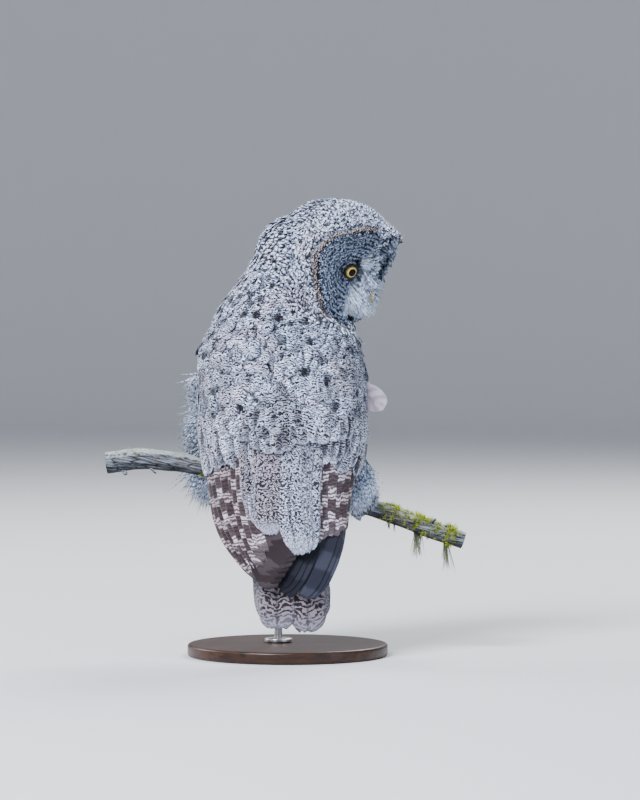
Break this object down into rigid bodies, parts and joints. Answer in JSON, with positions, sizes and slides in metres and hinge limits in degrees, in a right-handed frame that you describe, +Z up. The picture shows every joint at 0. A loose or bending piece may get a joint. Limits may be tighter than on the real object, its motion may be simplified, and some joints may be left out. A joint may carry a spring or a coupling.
{
  "type": "great grey owl model",
  "caption": "Life-size great grey owl seen from behind, looking down over its right shoulder, on a cut branch held by a plain round display stand.",
  "frame": {"origin": "middle of the frame's floor: the underside of the stand's base, a little off its centre, below the middle line of the branch", "axes": "+Z up, +Y the way the breast faces and away from the viewer of the picture, +X to the bird's own right side"},
  "size_m": [0.5421, 0.3, 0.6846],
  "materials": {
    "plumage": "soft matte feathers, silver grey mottled with brown grey",
    "wing_plumage": "matte vanes, grey brown with pale bars",
    "tail_plumage": "matte vanes, dark grey brown with pale bars",
    "leg_plumage": "soft matte down, pale grey",
    "eye": "polished glass, yellow iris round a black pupil",
    "bill": "satin horn, dull yellow",
    "claw": "satin horn, near black",
    "bark": "weathered grey bark and dead wood with yellow green lichen",
    "wood_base": "dark stained wood, satin varnish",
    "metal": "brushed steel"
  },
  "bodies": {
    "root": {"head": "plumage", "neck": "plumage", "torso": "plumage", "eye_left": "eye", "eye_right": "eye", "bill_upper": "bill", "bill_lower": "bill", "wing_left": "wing_plumage", "wing_right": "wing_plumage", "tail": "tail_plumage", "leg_left": "leg_plumage", "leg_right": "leg_plumage", "foot_left": "leg_plumage", "foot_right": "leg_plumage", "claw_left_1": "claw", "claw_left_2": "claw", "claw_left_3": "claw", "claw_left_4": "claw", "claw_right_1": "claw", "claw_right_2": "claw", "claw_right_3": "claw", "claw_right_4": "claw", "perch": "bark", "stand_base": "wood_base", "stand_collar": "metal", "stand_rod": "metal"}
  },
  "joints": []
}
